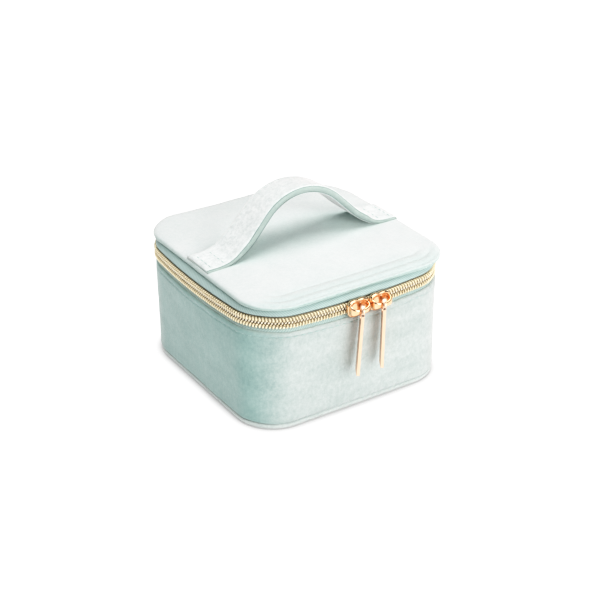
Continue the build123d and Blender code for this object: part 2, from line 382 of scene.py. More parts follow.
def smooth(t):
    """Smooth step from 0 to 1 over t from 0 to 1."""
    t = np.clip(t, 0.0, 1.0)
    return t * t * (3 - 2 * t)


def round_angles(count):
    """Angles of that many points evenly round a circle."""
    return np.linspace(0, 2 * math.pi, count, endpoint=False)


def unit_rows(vectors):
    """The vectors, one in each row, at unit length."""
    return vectors / np.maximum(np.linalg.norm(vectors, axis=1), 1e-9)[:, None]


def level_normals(tangents):
    """Level unit normals to the right of tangents."""
    return unit_rows(np.column_stack([tangents[:, 1], -tangents[:, 0], np.zeros(len(tangents))]))


def along_line(line):
    """Distance along a line of points, and its total length."""
    steps = np.linalg.norm(np.diff(line, axis=0), axis=1)
    along = np.concatenate([[0], np.cumsum(steps)])
    return along, along[-1]


def points_at(where, along, line):
    """Values of a line at some distances along it."""
    return np.array([np.interp(where, along, line[:, axis]) for axis in range(3)]).T


def drawn_in(loop, share, middle=0.0):
    """The loop scaled level towards a centre line at x = middle."""
    centre = np.array([middle, 0, 0])
    return (loop - centre) * np.array([share, share, 1.0]) + centre


def plan_points(half_x, half_y, radii):
    """Points and outward normals round a rounded rectangle, anticlockwise from the front's left.

    The radii are those of the front right, back right, back left and front left corners.
    """
    signs = [(1, -1), (1, 1), (-1, 1), (-1, -1)]
    centres = [(sx * (half_x - r), sy * (half_y - r)) for (sx, sy), r in zip(signs, radii)]
    points = []
    normals = []
    for k, (centre, radius) in enumerate(zip(centres, radii)):
        turn = (k - 1) * math.pi / 2
        facing = np.array([math.cos(turn), math.sin(turn)])
        start = np.array(centres[k - 1]) + radii[k - 1] * facing
        end = np.array(centre) + radius * facing
        for i in range(1, SIDE_STEPS):
            share = i / SIDE_STEPS
            points.append(start * (1 - share) + end * share)
            normals.append(facing)
        for i in range(CORNER_STEPS + 1):
            angle = turn + i / CORNER_STEPS * math.pi / 2
            direction = np.array([math.cos(angle), math.sin(angle)])
            points.append(np.array(centre) + radius * direction)
            normals.append(direction)
    return np.array(points), np.array(normals)


def mid_side(points, half_x, half_y):
    """How far each point is towards the middle of its side, from 0 at the corners to 1."""
    x = np.clip(np.abs(points[:, 0]) / half_x, 0, 1)
    y = np.clip(np.abs(points[:, 1]) / half_y, 0, 1)
    return (1 - x * x) * y**4 + (1 - y * y) * x**4


def ring(inset, z, bow=0.0, dip=0.0, back_left=0.0, back_right=0.0):
    """Closed loop of points round the case, inset from its plan outline, at height z."""
    half_x = HALF_X - inset
    half_y = HALF_Y - inset
    radius = max(CORNER - inset, 0.5 * MM)
    radii = (radius, radius + back_right, radius + back_left, radius)
    flat, normals = plan_points(half_x, half_y, radii)
    share = mid_side(flat, half_x, half_y)
    flat = flat + normals * (bow * share)[:, None]
    height = z - dip * share
    return np.column_stack([flat, height])


def wall_ring(inset, z):
    """Loop of the base's wall, which bows outward and draws in at its corners towards the rim."""
    rise = float(smooth(z / WALL_TOP))
    at = FOOT_INSET + (RIM_INSET - FOOT_INSET) * rise + inset
    return ring(at, z, RIM_BOW * rise, RIM_DIP * rise**3, BACK_LEFT_EXTRA)


def new_object(name, data):
    """Object of that data in the scene."""
    thing = bpy.data.objects.new(name, data)
    bpy.context.scene.collection.objects.link(thing)
    return thing


def shade_smooth(mesh):
    """Smooth shading on every face."""
    mesh.polygons.foreach_set("use_smooth", [True] * len(mesh.polygons))


def make_mesh(name, points, faces, uvs=None):
    """Mesh object from points and faces, smooth shaded, with a UV pair for each point."""
    mesh = bpy.data.meshes.new(name)
    mesh.from_pydata([tuple(p) for p in points], [], faces)
    shade_smooth(mesh)
    if uvs is not None:
        layer = mesh.uv_layers.new(name="UVMap")
        flat = [uvs[i] for face in faces for i in face]
        layer.data.foreach_set("uv", np.array(flat, float).ravel())
    mesh.validate()
    mesh.update()
    return new_object(name, mesh)


def loft(name, rings, closed=True, caps=(False, False)):
    """Skin over a list of loops with the same number of points each."""
    count = len(rings[0])
    points = np.concatenate(rings)
    span = count if closed else count - 1
    faces = []
    for base in range(0, (len(rings) - 1) * count, count):
        for i in range(span):
            j = (i + 1) % count
            faces.append((base + i, base + j, base + count + j, base + count + i))
    along, _ = along_line(rings[0])
    across = [0.0]
    for a, b in zip(rings, rings[1:]):
        across.append(across[-1] + float(np.linalg.norm(b - a, axis=1).mean()))
    uvs = [(u / MM, v / MM) for v in across for u in along]
    for wanted, index in zip(caps, (0, len(rings) - 1)):
        if wanted:
            centre = len(points)
            points = np.vstack([points, rings[index].mean(axis=0)])
            uvs.append((0.0, 0.0))
            for i in range(span):
                a, b = index * count + i, index * count + (i + 1) % count
                faces.append((centre, a, b) if index else (centre, b, a))
    return make_mesh(name, points, faces, uvs)


def closed_loft(name, rings):
    """Loft with both ends closed and its normals pointing outward."""
    thing = loft(name, rings, caps=(True, True))
    point_outward(thing)
    return thing


def ruffle(thing, amplitude, size, seed, stretch=(1, 1, 1)):
    """Moves each vertex along its normal by a smooth noise with that feature size."""
    mesh = thing.data
    offset = Vector((seed * 7.31, seed * 3.17, seed * 5.53))
    scale = Vector(stretch)
    normals = [v.normal.copy() for v in mesh.vertices]
    for vertex, normal in zip(mesh.vertices, normals):
        place = Vector([c * s / size for c, s in zip(vertex.co, scale)]) + offset
        vertex.co += normal * (amplitude * noise.noise(place))
    mesh.update()


def dress(thing, material, body, slot, *nodes):
    """Gives a piece its material, its body and the CAD nodes it stands for. The slot is not used.
    """
    thing.data.materials.clear()
    thing.data.materials.append(material)
    if body:
        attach(thing, body)
    if nodes:
        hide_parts(*nodes)
    return thing


def tube_points(line, radius, sides, up=(0, 0, 1.0)):
    """Loops of a round tube along a line of points."""
    line = np.array(line)
    tangents = unit_rows(np.gradient(line, axis=0))
    side = unit_rows(np.cross(tangents, np.array(up)))
    over = np.cross(side, tangents)
    angles = round_angles(sides)
    loops = []
    for p, s, o, r in zip(line, side, over, np.broadcast_to(radius, len(line))):
        loops.append(p + r * (np.cos(angles)[:, None] * s + np.sin(angles)[:, None] * o))
    return loops


def tubes_mesh(name, tubes):
    """One mesh of many short closed tubes, each a list of loops."""
    points = []
    faces = []
    for loops in tubes:
        base = len(points)
        sides = len(loops[0])
        last = base + (len(loops) - 1) * sides
        points.extend(point for loop in loops for point in loop)
        for a in range(base, last, sides):
            for i in range(sides):
                j = (i + 1) % sides
                faces.append((a + i, a + j, a + sides + j, a + sides + i))
        faces.append(tuple(base + i for i in reversed(range(sides))))
        faces.append(tuple(last + i for i in range(sides)))
    return make_mesh(name, points, faces)


def stitches(name, line, normals, length=2.3 * MM, gap=0.9 * MM, radius=0.16 * MM):
    """Row of short thread stitches along a line, each sunk at its ends."""
    line = np.array(line)
    normals = np.array(normals)
    along, total = along_line(line)
    shares = np.linspace(0, 1, 6)
    hump = np.sin(shares * math.pi)
    tubes = []
    for k in range(int(total / (length + gap))):
        start = k * (length + gap) + gap / 2
        up = points_at(start + length / 2, along, normals)
        lift = hump * radius * 0.9 - radius * 0.7
        centre = points_at(start + shares * length, along, line) + up * lift[:, None]
        tubes.append(tube_points(centre, radius * (0.45 + 0.55 * hump), 6, up))
    return tubes_mesh(name, tubes)


def outward(loop):
    """Level outward normals of a closed loop of points."""
    return level_normals(np.roll(loop, -1, axis=0) - np.roll(loop, 1, axis=0))


def closed_line(loop):
    """The loop with its first point repeated at the end."""
    return np.vstack([loop, loop[:1]])


def join(name, pieces):
    """Joins mesh objects into the first and names it."""
    for thing in bpy.context.selected_objects:
        thing.select_set(False)
    for thing in pieces:
        thing.select_set(True)
    bpy.context.view_layer.objects.active = pieces[0]
    bpy.ops.object.join()
    pieces[0].name = name
    return pieces[0]


def edit_mesh(thing, change):
    """Runs change(mesh) on the piece's mesh as a bmesh, then makes the normals point outward."""
    mesh = bmesh.new()
    mesh.from_mesh(thing.data)
    change(mesh)
    bmesh.ops.recalc_face_normals(mesh, faces=mesh.faces[:])
    mesh.to_mesh(thing.data)
    mesh.free()


def point_outward(thing):
    """Makes a closed mesh's normals point outward."""
    edit_mesh(thing, lambda mesh: bmesh.ops.remove_doubles(mesh, verts=mesh.verts[:], dist=1e-7))


def object_of(name, mesh):
    """Object of a finished bmesh."""
    data = bpy.data.meshes.new(name)
    mesh.to_mesh(data)
    mesh.free()
    return new_object(name, data)


# ---------------------------------------------------------------- base


def make_base_wall():
    """Velvet wall: rolled rim, stitched groove below it, upright wall and lower seam."""
    profile = [
        (4.0, -2.2), (3.0, -1.2), (2.2, -0.5), (1.6, -0.1), (1.05, 0.02), (0.6, -0.1),
        (0.25, -0.5), (0.05, -1.0), (0.0, -1.5), (0.04, -1.9), (0.2, -2.2), (0.2, -2.45),
        (0.04, -2.75), (0.0, -3.4),
    ]
    rings = [wall_ring(i * MM, RIM_TOP + z * MM) for i, z in profile]
    upper = RIM_TOP - 4.2 * MM
    lower = FOOT_SEAM + 2.2 * MM
    for share in np.linspace(0, 1, 34):
        rings.append(wall_ring(0.0, upper + (lower - upper) * share))
    foot = [(-0.05, 1.4), (0.0, 0.8), (0.2, 0.35), (0.6, 0.08), (1.2, 0.0), (2.2, 0.0)]
    rings += [wall_ring(i * MM, FOOT_SEAM + z * MM) for i, z in foot]
    wall = loft("base_wall_velvet", rings)
    ruffle(wall, 0.30 * MM, 26 * MM, 3, (1, 1, 0.7))
    ruffle(wall, 0.14 * MM, 7 * MM, 8)
    dress(wall, VELVET, "base", "velvet", "wall_velvet")


def make_base_stitches():
    """Stitch row below the rim."""
    z = RIM_TOP - 2.33 * MM
    loop = wall_ring(0.17 * MM, z)
    around = closed_line(outward(loop))
    row = stitches("rim_stitches", closed_line(loop), around)
    dress(row, THREAD, "base", "velvet")


def make_bottom_panel():
    """Bottom panel with its rounded rim, whose velvet is painted paler as if lit from the floor, so
    it shows as a pale strip under the wall.
    """
    profile = [
        (2.4, 0.0), (1.3, -0.05), (0.7, -0.2), (0.35, -0.55), (0.2, -1.1), (0.3, -1.7),
        (0.7, -2.15), (1.4, -2.4), (4.0, -2.4),
    ]
    rings = [
        ring(FOOT_INSET + i * MM, FOOT_SEAM + z * MM, 0.0, 0.0, BACK_LEFT_EXTRA) for i, z in profile
    ]
    last = rings[-1]
    rings += [drawn_in(last, share) for share in (0.85, 0.65, 0.45, 0.25, 0.08)]
    panel = loft("bottom_panel_velvet", rings, caps=(False, True))
    dress(panel, FOOT_BOUNCE_VELVET, "base", "velvet", "bottom_velvet")


def make_inside_lining():
    """Lining of the base, from its rolled top edge down to the floor."""
    inner = HALF_X - (pad_hi.x - CAD_BOW)
    top = liner_hi.z
    profile = [
        (-1.1, -1.6), (-1.05, -0.5), (-0.85, -0.12), (-0.5, 0.0), (-0.15, -0.2), (0.0, -0.7),
        (0.0, -2.0),
    ]
    places = [(inner + i * MM, top + z * MM) for i, z in profile]
    straight = pad_lo.z - top + 2.0 * MM
    places += [(inner, top - 2.0 * MM + straight * share) for share in np.linspace(0, 1, 16)[1:]]
    rings = [ring(inset, z, CAD_BOW, 0.0, BACK_LEFT_EXTRA) for inset, z in places]
    lining = loft("inside_lining", rings)
    ruffle(lining, 0.18 * MM, 18 * MM, 5)
    dress(lining, LINING, "base", "velvet_lining", "wall_liner")


# ---------------------------------------------------------------- hidden stiffeners


def make_wall_board():
    """Board inside the wall, drawn in at the corners like the wall."""
    heights = np.linspace(FOOT_SEAM + 0.6 * MM, WALL_TOP - 1.9 * MM, 12)
    outer = [wall_ring(0.75 * MM, z) for z in heights]
    inner = [ring(3.9 * MM, z, CAD_BOW, 0.0, BACK_LEFT_EXTRA) for z in heights[::-1]]
    board = loft("wall_stiffener", outer + inner + outer[:1])
    point_outward(board)
    ruffle(board, 0.05 * MM, 6 * MM, 71)
    dress(board, BOARD, "base", "greyboard", "wall_board")


def make_slab(name, loop_at, low, high, edge, middle=0.0):
    """Flat slab with softened edges, whose loops come from loop_at(inset, z) in millimetres."""
    profile = [(edge, low), (0.0, low + edge), (0.0, high - edge), (edge, high)]
    rings = [loop_at(i, z) for i, z in profile]
    bottom, top = rings[0], rings[-1]
    for share in (0.8, 0.5, 0.2, 0.04):
        rings.append(drawn_in(top, share, middle))
        rings.insert(0, drawn_in(bottom, share, middle))
    slab = closed_loft(name, rings)
    ruffle(slab, 0.04 * MM, 5 * MM, 73)
    return slab


def make_flat_stiffeners():
    """Board in the floor, and board and foam inside the lid, each set in from its cover."""

    def floor_loop(inset, z):
        return ring((2.4 + inset) * MM, z * MM, 0.0, 0.0, BACK_LEFT_EXTRA)

    floor = make_slab("floor_stiffener", floor_loop, panel_hi.z / MM + 1.1, pad_lo.z / MM, 0.3)
    dress(floor, BOARD, "base", "greyboard", "bottom_board")
    for name, node, material, slot, low, high, inset in (
        ("lid_stiffener", "lid_board", BOARD, "greyboard", -1.6, -0.55, 5.2),
        ("lid_padding", "lid_foam", FOAM, "foam", -0.5, 1.1, 3.4),
    ):

        def lid_loop(edge, z, inset=inset):
            return lid_ring((inset + edge) * MM, LID_LOW + z * MM)

        slab = make_slab(name, lid_loop, low, high, 0.35, LID_SHIFT)
        dress(slab, material, "lid", slot, node)


# ---------------------------------------------------------------- cloth

CLOTH_FRAMES = 20


def inflate(thing, pressure, cap, voxel=None):
    """Inflates a closed mesh a little as cloth, and keeps the result as its mesh."""
    if voxel:
        remesh = thing.modifiers.new("remesh", "REMESH")
        remesh.mode = "VOXEL"
        remesh.voxel_size = voxel
        apply_modifiers(thing)
    rest = np.array([v.co for v in thing.data.vertices], float)
    cloth = thing.modifiers.new("cloth", "CLOTH")
    settings = cloth.settings
    settings.quality = 5
    settings.mass = 0.3
    settings.tension_stiffness = 15
    settings.compression_stiffness = 15
    settings.bending_stiffness = 0.5
    settings.use_pressure = True
    settings.uniform_pressure_force = pressure
    settings.effector_weights.gravity = 0
    cloth.collision_settings.use_collision = False
    cloth.point_cache.frame_end = CLOTH_FRAMES
    scene = bpy.context.scene
    for step in range(1, CLOTH_FRAMES + 1):
        scene.frame_set(step)
    inflated = thing.evaluated_get(bpy.context.evaluated_depsgraph_get())
    shift = np.array([v.co for v in inflated.to_mesh().vertices], float) - rest
    inflated.to_mesh_clear()
    keep = np.minimum(1.0, cap / np.maximum(np.linalg.norm(shift, axis=1), 1e-9))
    thing.modifiers.clear()
    scene.frame_set(1)
    final = rest + shift * keep[:, None]
    thing.data.vertices.foreach_set("co", final.astype(np.float32).ravel())
    thing.data.update()


def apply_modifiers(thing):
    """Replaces the object's mesh by its evaluated mesh."""
    graph = bpy.context.evaluated_depsgraph_get()
    mesh = bpy.data.meshes.new_from_object(thing.evaluated_get(graph))
    thing.modifiers.clear()
    thing.data = mesh
    shade_smooth(mesh)


def soft_block(name, lo, hi, edge, steps, shape):
    """Box with rounded edges made of a fine grid, pushed to another shape."""
    mesh = bmesh.new()
    bmesh.ops.create_cube(mesh, size=1.0)
    size = hi - lo
    cuts = max(4, int(max(size) / steps))
    bmesh.ops.subdivide_edges(mesh, edges=mesh.edges[:], cuts=cuts, use_grid_fill=True)
    for vertex in mesh.verts:
        place = vertex.co * size
        inner = Vector([max(-s / 2 + edge, min(s / 2 - edge, p)) for s, p in zip(size, place)])
        out = place - inner
        if out.length > 1e-9:
            place = inner + out.normalized() * edge
        vertex.co = shape(place + (hi + lo) / 2)
    thing = object_of(name, mesh)
    shade_smooth(thing.data)
    return thing


# ---------------------------------------------------------------- inside fittings


def inside_limit(place, margin=0.35 * MM):
    """Moves a point that lies outside the lining's inner outline back onto it."""
    half_x = pad_hi.x - margin
    half_y = pad_hi.y - margin
    radius = 20.5 * MM if place.x < 0 < place.y else 15.0 * MM
    x, y = abs(place.x), abs(place.y)
    cx, cy = half_x - radius, half_y - radius
    if x > cx and y > cy:
        reach = math.hypot(x - cx, y - cy)
        if reach > radius:
            x = cx + (x - cx) * radius / reach
            y = cy + (y - cy) * radius / reach
    x, y = min(x, half_x), min(y, half_y)
    return Vector((math.copysign(x, place.x), math.copysign(y, place.y), place.z))


def make_floor_pad():
    """Padded floor."""
    top = pad_hi - Vector((0, 0, 0.5 * MM))
    pad = soft_block("floor_cushion", pad_lo, top, 0.9 * MM, 2.4 * MM, inside_limit)
    inflate(pad, 2.0, 0.5 * MM)
    ruffle(pad, 0.12 * MM, 9 * MM, 12)
    dress(pad, LINING, "base", "velvet_lining", "floor_pad")


def make_ring_rolls():
    """Six padded ring rolls with round tops."""
    for index in range(1, 7):
        node = f"ring_roll_{index}"
        lo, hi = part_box(node)
        radius = (hi.y - lo.y) / 2
        middle = (hi.y + lo.y) / 2
        crown = hi.z - radius

        def rounded(place, middle=middle, radius=radius, crown=crown):
            if place.z > crown:
                out = Vector((0, place.y - middle, place.z - crown))
                box_reach = max(abs(out.y), abs(out.z))
                if out.length > 1e-9:
                    out = out.normalized() * min(box_reach, radius)
                place = Vector((place.x, middle + out.y, crown + out.z))
            return inside_limit(place)

        shrink = Vector((0.35 * MM, 0.45 * MM, 0.0))
        name = f"ring_roll_cushion_{index}"
        roll = soft_block(name, lo + shrink, hi - shrink, 1.2 * MM, 1.9 * MM, rounded)
        inflate(roll, 4.0, 0.7 * MM, 2.0 * MM)
        roll.modifiers.new("subdivision", "SUBSURF").levels = 1
        apply_modifiers(roll)
        ruffle(roll, 0.25 * MM, 11 * MM, 20 + index)
        dress(roll, LINING, "base", "velvet_lining", node)


def make_dividers():
    """Velvet-covered boards with soft rounded top edges."""
    for node in ("divider_long", "divider_front", "divider_rear"):
        lo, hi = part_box(node)
        board = soft_block(f"{node}_velvet", lo, hi, 0.95 * MM, 1.6 * MM, inside_limit)
        ruffle(board, 0.12 * MM, 10 * MM, 31)
        dress(board, LINING, "base", "velvet_lining", node)


# ---------------------------------------------------------------- zip

# How much faster a coil's wire goes along the zip at its turns than on its upright strands.
COIL_UPRIGHT = 0.6
TOOTH_PITCH = 1.38 * MM
ZIP_BACK_LEFT_EXTRA = 3.0 * MM


def zip_loop(inset, z):
    """Loop that the zip follows, inset from its own middle line, at that height."""
    return ring(ZIP_INSET + inset, z, ZIP_BOW, ZIP_DIP, ZIP_BACK_LEFT_EXTRA)


def zip_run(loop):
    """The part of a loop round the front, sides and back corners, between the hinge's ends."""
    plan = ring(0.0, 0.0)
    back = np.flatnonzero((plan[:, 1] > 0) & (np.abs(plan[:, 0]) < hinge_hi.x + 1.0 * MM))
    count = len(loop)
    return loop[[(back[-1] + 1 + i) % count for i in range(count - len(back))]]


def make_tapes():
    """Two woven tapes, each from its coil to the seam that holds it."""
    upper = [
        (4.3, 3.6, 51.2), (4.2, 3.6, 52.8), (3.9, 3.55, 53.2), (3.3, 3.45, 53.3),
        (2.75, 3.35, 53.45), (2.45, 3.2, 53.65), (2.35, 2.9, 53.95), (2.35, 2.5, 54.3),
        (2.3, 2.0, 54.65), (2.25, 1.5, 55.0), (2.3, 1.0, 55.35), (2.6, 0.75, 55.6),
        (2.9, 0.6, 56.1), (3.5, 0.5, 56.2), (3.5, 1.0, 55.2), (3.7, 2.2, 54.4), (4.3, 3.4, 53.8),
        (4.6, 3.6, 53.3), (4.6, 3.6, 51.6),
    ]
    lower = [
        (4.0, 3.6, 50.0), (3.9, 3.6, 48.6), (3.6, 3.65, 48.0), (3.25, 3.75, 47.5),
        (3.0, 3.85, 47.0), (2.9, 3.95, 46.4), (3.0, 4.1, 45.6), (3.6, 4.1, 44.8),
        (4.4, 4.1, 45.0), (4.2, 3.9, 46.6), (4.5, 3.7, 48.4), (4.5, 3.6, 50.0),
    ]
    for name, profile, body, node in (
        ("upper_zip_tape", upper, "lid", "upper_tape"),
        ("lower_zip_tape", lower, "base", "lower_tape"),
    ):
        rows = []
        for inset, bow, z in profile:
            share = bow * MM / ZIP_BOW
            loop = ring(inset * MM, z * MM, bow * MM, ZIP_DIP * share, ZIP_BACK_LEFT_EXTRA)
            if body == "lid":
                loop[:, 0] += LID_SHIFT * max(0.0, 1 - share)
            rows.append(zip_run(loop))
        tape = loft(name, rows + rows[:1], closed=False)
        dress(tape, TAPE, body, "zip_tape", node)


def coil_wire(middle, half_height, half_depth, wire, hand):
    """Loops of a flattened helix round a middle line, whose front strands stand upright."""
    along, total = along_line(middle)
    turns = int(total / TOOTH_PITCH)
    turned = np.linspace(0, turns * 2 * math.pi, turns * 14 + 1)
    where = (turned - COIL_UPRIGHT * np.sin(turned)) * TOOTH_PITCH / (2 * math.pi)
    angle = turned * hand
    centre = points_at(where, along, middle)
    across = np.cos(angle)
    depth = half_depth * np.sign(across) * np.abs(across) ** 0.7
    line = centre + level_normals(unit_rows(np.gradient(centre, axis=0))) * depth[:, None]
    line[:, 2] += half_height * np.sin(angle)
    return tube_points(line, wire, 6, (0.3, 0.2, 0.93))


def make_teeth_heads(middle):
    """Rounded tooth heads that meet in the middle of the zip, one for each turn of the coils."""
    along, total = along_line(middle)
    shares = np.linspace(-1, 1, 7)
    thick = 0.34 * MM * np.sqrt(np.clip(1.02 - shares**4, 0.03, 1))
    tubes = []
    for k in range(int(total / TOOTH_PITCH)):
        where = (k + 0.5) * TOOTH_PITCH
        centre, ahead = points_at([where, where + 0.1 * MM], along, middle)
        forward = (ahead - centre) / np.linalg.norm(ahead - centre)
        line = [centre + forward * 0.2 * MM * t + np.array([0, 0, 0.62 * MM * t]) for t in shares]
        tubes.append(tube_points(line, thick, 8, (0.2, 1.0, 0.1)))
    return tubes_mesh("zip_teeth_heads", tubes)


def make_coils():
    """Two nylon coils round their cords, and the tooth heads that meet between them."""
    gap = 0.62 * MM
    wire = 0.43 * MM
    for name, low, high, hand, body, node in (
        ("lower_zip_coil", COIL_LOW - 0.1 * MM, COIL_MID - gap, 1, "base", "lower_coil"),
        ("upper_zip_coil", COIL_MID + gap, COIL_HIGH - 0.15 * MM, -1, "lid", "upper_coil"),
    ):
        height = (low + high) / 2
        middle = zip_run(zip_loop(0.0, height))
        half_height = (high - low) / 2 - wire * 0.8
        loops = coil_wire(middle, half_height, 0.5 * MM, wire, hand)
        dress(loft(name, loops, caps=(True, True)), COIL, body, "zip_coil", node)
        inner = tube_points(zip_run(zip_loop(0.2 * MM, height)), 0.42 * MM, 8)
        cord = loft(f"{name}_core", inner, caps=(True, True))
        dress(cord, CORD_AND_GAP_SHADE, body, "zip_coil")
    heads = make_teeth_heads(zip_run(zip_loop(0.05 * MM, COIL_MID)))
    dress(heads, HEADS, "base", "zip_coil")
    # Dark strips behind the coils and a near-black strip above the upper coil, standing for the
    # shade there: painted shade.
    low_shade_strip = [(0.9, 48.2), (0.85, 49.0), (0.85, 50.3), (0.95, 50.4), (1.2, 50.3), (1.2, 48.2)]
    high_shade_strip = [
        (0.9, 52.6), (0.85, 51.5), (0.85, 50.6), (0.95, 50.5), (1.2, 50.6), (1.2, 52.6),
    ]
    shade = [(1.05, 52.3), (1.0, 52.5), (1.0, 52.65), (1.2, 52.85), (1.5, 52.9), (1.5, 52.3)]
    for name, profile, material, body in (
        ("zip_low_shade_strip", low_shade_strip, CORD_AND_GAP_SHADE, "base"),
        ("zip_high_shade_strip", high_shade_strip, CORD_AND_GAP_SHADE, "lid"),
        ("zip_gap_shade", shade, GAP_SHADE, "lid"),
    ):
        rows = [zip_run(zip_loop(i * MM, z * MM)) for i, z in profile]
        dress(loft(name, rows + rows[:1], closed=False), material, body, "zip_coil")


# ---------------------------------------------------------------- hinge


def back_line(loop, spots):
    """Points of a loop along the back of the case, at those distances from its middle."""
    back = loop[loop[:, 1] > 0.6 * HALF_Y]
    back = back[np.argsort(back[:, 0])]
    y = np.interp(spots, back[:, 0], back[:, 1])
    z = np.interp(spots, back[:, 0], back[:, 2])
    return np.column_stack([spots, y, z])


def hinge_row(inset, share, tuck=True):
    """One row of the back flap, from the base's rim (share 0) to the lid's edge (share 1)."""
    bulge = 0.4 * MM * math.sin(share * math.pi)
    reach = hinge_hi.x + 2.0 * MM
    spots = np.linspace(-reach, reach, 61)
    low = wall_ring(inset - bulge - 0.35 * MM, RIM_TOP - 1.3 * MM)
    high = lid_ring(inset - bulge + 0.35 * MM, LID_LOW + 0.5 * MM)
    row = back_line(low, spots) * (1 - share) + back_line(high, spots) * share
    if tuck:
        from_end = reach - np.abs(spots)
        row[:, 1] -= 1.0 * MM * np.clip(1 - from_end / (1.6 * MM), 0, 1) ** 2
    return row


def make_hinge():
    """Outer velvet flap and inner lining flap."""
    for name, outer, thick, material, slot, node, seed in (
        ("hinge_flap_velvet", 0.0, 1.1, VELVET, "velvet", "hinge_velvet", 41),
        ("hinge_flap_lining", 1.6, 0.9, LINING, "velvet_lining", "hinge_liner", 42),
    ):
        shares = np.linspace(0, 1, 22)
        rows = [hinge_row(outer * MM, share) for share in shares]
        rows += [hinge_row((outer + thick) * MM, share) for share in shares[::-1]]
        rows.append(rows[0])
        flap = loft(name, rows, closed=False)
        for end in (0, len(rows[0]) - 1):
            close_end(flap, len(rows[0]), len(rows) - 1, end)
        ruffle(flap, 0.12 * MM, 8 * MM, seed)
        dress(flap, material, None, slot, node)
        end = (0, hinge_hi.y, LID_LOW + 0.2 * MM)
        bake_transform(flap)
    for name, share, body in (
        ("flap_stitches_low", 0.13, "base"),
        ("flap_stitches_high", 0.9, "lid"),
    ):
        line = hinge_row(-0.05 * MM, share, False)[3:-3]
        row = stitches(name, line, np.tile([0.0, 1.0, 0.0], (len(line), 1)))
        dress(row, THREAD, body, "velvet")


def close_end(thing, count, rows, column):
    """Closes the open end of a lofted strip with one face."""

    def add_face(mesh):
        mesh.verts.ensure_lookup_table()
        face = mesh.faces.new([mesh.verts[r * count + column] for r in range(rows)])
        face.smooth = True

    edit_mesh(thing, add_face)


# ---------------------------------------------------------------- lid


def lid_ring(inset, z):
    """Loop of the lid, inset from its own edge."""
    loop = ring(LID_EDGE + inset, z, LID_BOW, 0.0, 0.0, LID_BACK_RIGHT_EXTRA)
    loop[:, 0] += LID_SHIFT + LID_RIGHT_EXTRA * np.clip(loop[:, 0] / HALF_X, 0, 1)
    return loop


def front_share():
    """How much each loop point faces the front, from 0 to 1."""
    _, normals = plan_points(HALF_X, HALF_Y, (CORNER,) * 4)
    return smooth((-normals[:, 1] - 0.35) / 0.6)


def make_lid_cover():
    """Velvet lid cover, rolled under at its edge, creased along the front, slightly padded."""
    creased = [
        (5.4, 0.5), (2.2, -0.05), (1.1, -0.12), (0.45, 0.0), (0.1, 0.3), (0.0, 0.7), (0.1, 1.05),
        (0.4, 1.32), (0.8, 1.46), (1.15, 1.45), (1.45, 1.32), (1.75, 1.45), (2.3, 1.85),
        (3.0, 2.08), (3.8, 2.14), (4.5, 2.05), (5.0, 1.82), (5.5, 1.98), (6.2, 2.28), (7.2, 2.42),
        (8.4, 2.42), (9.2, 2.28), (9.7, 2.06), (10.2, 2.22), (11.2, 2.45), (13.0, 2.5),
    ]
    plain = [
        (5.4, 0.5), (2.2, -0.05), (1.1, -0.12), (0.45, 0.0), (0.12, 0.3), (0.0, 0.7), (0.05, 1.0),
        (0.2, 1.3), (0.38, 1.52), (0.6, 1.72), (0.85, 1.9), (1.2, 2.06), (1.7, 2.22), (2.3, 2.32),
        (2.9, 2.36), (3.4, 2.38), (3.9, 2.4), (4.5, 2.42), (5.2, 2.44), (6.0, 2.45), (7.0, 2.46),
        (8.0, 2.47), (9.0, 2.48), (10.0, 2.49), (11.2, 2.5), (13.0, 2.5),
    ]
    weight = front_share()[:, None]
    rings = []
    for (i, z), (j, w) in zip(creased, plain):
        front = lid_ring(i * MM, LID_LOW + z * MM)
        rest = lid_ring(j * MM, LID_LOW + w * MM)
        rings.append(front * weight + rest * (1 - weight))
    edge = rings[-1]
    for share in np.linspace(0.96, 0.04, 24):
        crown = 0.5 * MM * (1 - share**2.2)
        rings.append(drawn_in(edge, share, LID_SHIFT) + [0, 0, crown])
    cover = loft("lid_cover_velvet", rings, caps=(False, True))
    ruffle(cover, 0.35 * MM, 24 * MM, 14)
    ruffle(cover, 0.16 * MM, 8 * MM, 15)
    dress(cover, LID_VELVET, "lid", "velvet", "lid_velvet")


def make_lid_lining():
    """Padded lining panel round the mirror."""
    top = panel_liner_hi.z
    outline = ring(HALF_X - (panel_liner_hi.x - CAD_BOW), top, CAD_BOW)
    flat, _ = plan_points(mirror_hi.x, mirror_hi.x, (7 * MM,) * 4)
    inner = np.column_stack([flat, np.full(len(flat), top)])
    loops = []
    for share, drop in (
        (0.0, 0.0), (0.0, 0.7), (0.03, 1.1), (0.1, 1.45), (0.3, 1.75), (0.55, 1.8), (0.8, 1.6),
        (0.93, 1.35), (0.985, 1.15), (1.0, 0.8), (1.0, 0.0),
    ):
        loop = outline * (1 - share) + inner * share
        loop[:, 2] = top - drop * MM
        loops.append(loop)
    panel = loft("lid_lining_panel", loops + loops[:1])
    ruffle(panel, 0.12 * MM, 10 * MM, 51)
    point_outward(panel)
    dress(panel, LINING, "lid", "velvet_lining", "lid_liner")


# ---------------------------------------------------------------- strap

